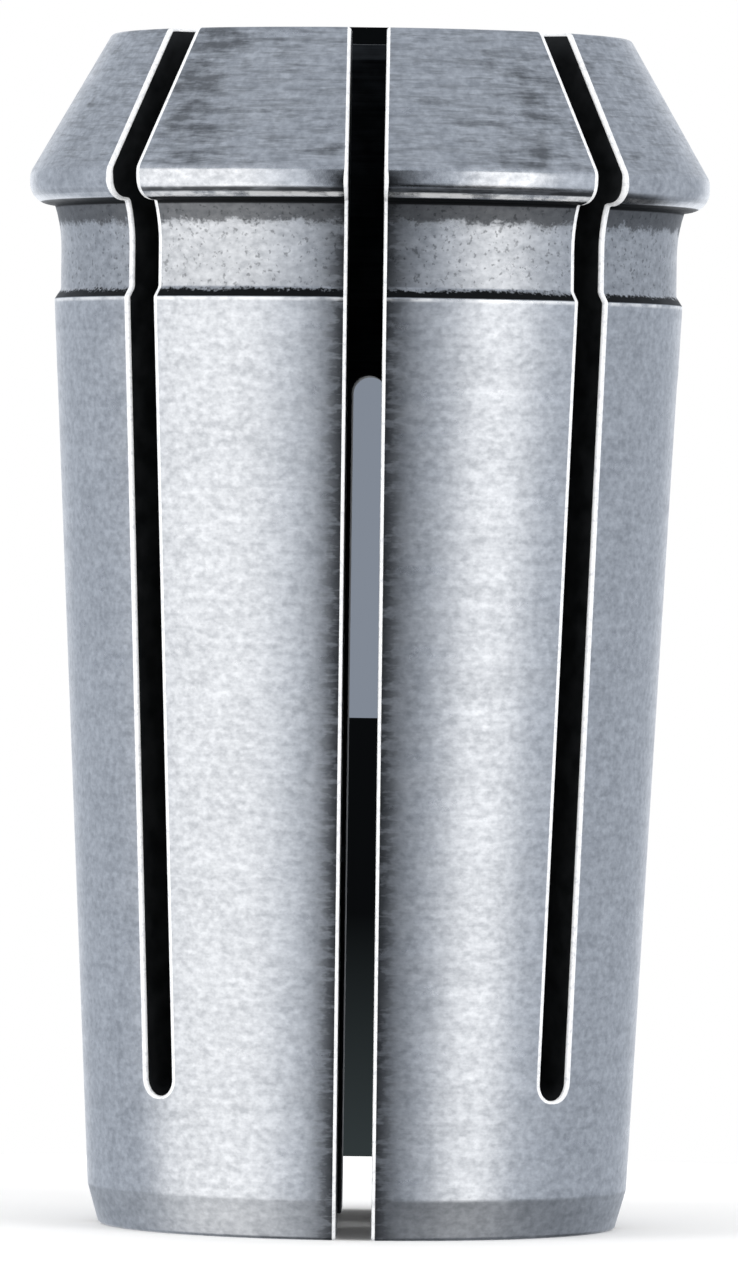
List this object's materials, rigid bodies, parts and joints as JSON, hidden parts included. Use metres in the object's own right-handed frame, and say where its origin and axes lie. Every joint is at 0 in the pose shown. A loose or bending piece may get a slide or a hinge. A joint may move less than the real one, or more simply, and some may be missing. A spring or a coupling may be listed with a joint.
{
  "type": "collet",
  "caption": "Slotted spring collet with a long slow clamping taper, a groove for the nut's extraction ring, a conical nose and a plain through bore for a tool shank.",
  "frame": {"origin": "centre of the rear face, on the axis, at the surface that the collet stands on", "axes": "+Z along the axis from the rear face to the nose; the slit that runs the whole length faces -Y"},
  "size_m": [0.035, 0.035, 0.0611],
  "materials": {
    "ground_steel": "hardened spring steel, ground satin on the taper and the nose cone, with bright stoned edges along the slots"
  },
  "bodies": {
    "root": {"collet_body": "ground_steel"}
  },
  "joints": []
}
